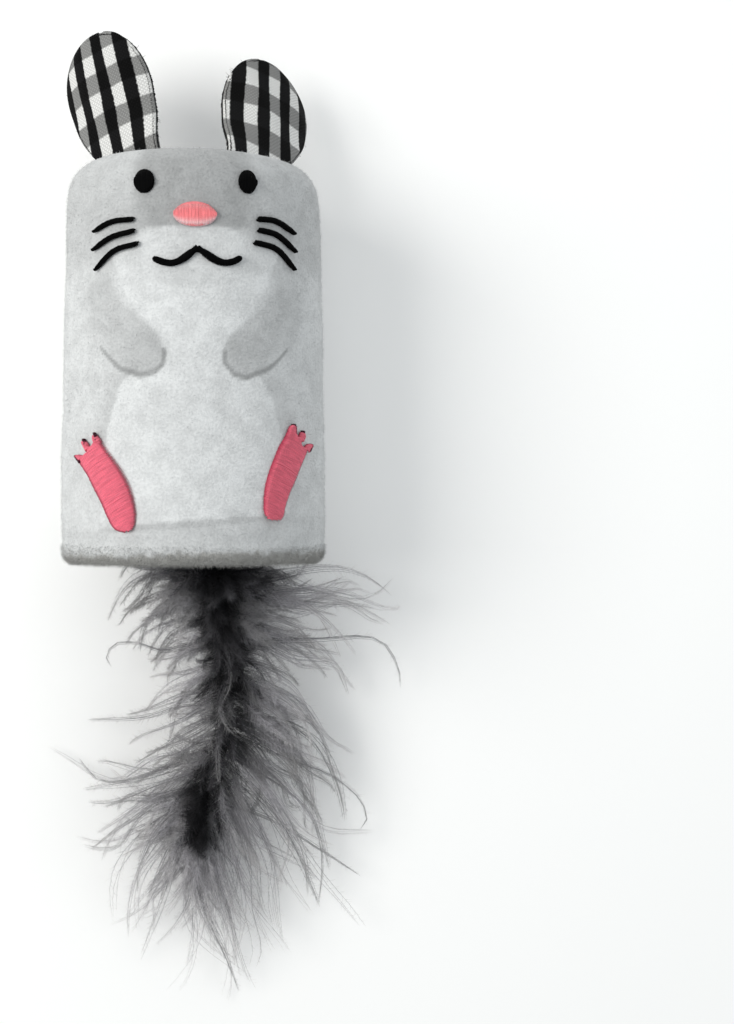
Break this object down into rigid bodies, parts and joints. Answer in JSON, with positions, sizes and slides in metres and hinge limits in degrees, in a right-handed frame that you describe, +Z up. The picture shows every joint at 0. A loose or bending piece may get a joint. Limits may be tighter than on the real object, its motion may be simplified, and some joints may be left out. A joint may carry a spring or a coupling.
{
  "type": "catnip mouse",
  "caption": "Stuffed plush roll sewn as a mouse, with gingham ears, an embroidered face and a marabou feather tail, for a cat to bat and carry.",
  "frame": {"origin": "middle of the flat that the back rests on, on the body's centre line", "axes": "+Z up out of the face, +Y from tail to ears along the body, +X to the right as seen from above with the ears away"},
  "size_m": [0.0691, 0.2142, 0.0542],
  "materials": {
    "plush": "short-pile plush, printed in two greys",
    "panel_plush": "short-pile plush, plain grey",
    "seam_thread": "spun sewing thread",
    "stuffing": "loose polyester fibre",
    "muslin": "plain muslin and cotton tie",
    "catnip": "dried leaf",
    "gingham": "woven black and white check",
    "black_stitch": "satin stitch",
    "pink_stitch": "satin stitch",
    "marabou": "dyed marabou down",
    "tail_thread": "waxed thread"
  },
  "bodies": {
    "body": {"body_sleeve": "plush", "base_hem": "plush", "crown_panel": "panel_plush", "base_panel": "panel_plush", "crown_seam_thread": "seam_thread", "base_seam_thread": "seam_thread", "back_seam_thread": "seam_thread", "stuffing_core": "stuffing", "stuffing_plug": "stuffing", "catnip_pouch": "muslin", "pouch_tie": "muslin", "dried_catnip": "catnip", "left_ear_tab": "gingham", "right_ear_tab": "gingham", "left_eye": "black_stitch", "right_eye": "black_stitch", "mouth": "black_stitch", "left_whisker_top": "black_stitch", "left_whisker_middle": "black_stitch", "left_whisker_bottom": "black_stitch", "right_whisker_top": "black_stitch", "right_whisker_middle": "black_stitch", "right_whisker_bottom": "black_stitch", "nose": "pink_stitch", "left_foot": "pink_stitch", "right_foot": "pink_stitch", "tail_anchor": "tail_thread"},
    "left_ear": {"left_ear_front": "gingham", "left_ear_back": "gingham"},
    "right_ear": {"right_ear_front": "gingham", "right_ear_back": "gingham"},
    "tail_root": {"tail_binding": "tail_thread", "root_plume": "marabou"},
    "tail": {"main_plume": "marabou"}
  },
  "joints": [
    {"name": "left_ear_fold", "type": "hinge", "parent": "body", "child": "left_ear", "pos_m": [-0.01384, 0.04374, 0.02799], "axis": [0.7986, 0, 0.6018], "range_deg": [-28, 65], "stiffness_Nm_per_rad": 0.0004},
    {"name": "right_ear_fold", "type": "hinge", "parent": "body", "child": "right_ear", "pos_m": [0.01376, 0.04374, 0.02847], "axis": [0.8192, 0, -0.5736], "range_deg": [-10, 80], "stiffness_Nm_per_rad": 0.0004},
    {"name": "tail_swing", "type": "hinge", "parent": "body", "child": "tail_root", "pos_m": [0.0038, -0.0446, 0.0259], "axis": [0, 0, 1], "range_deg": [-32, 32]},
    {"name": "tail_lift", "type": "hinge", "parent": "tail_root", "child": "tail", "pos_m": [0.00546, -0.05588, 0.02221], "axis": [-1, 0, 0], "range_deg": [0, 40]}
  ]
}
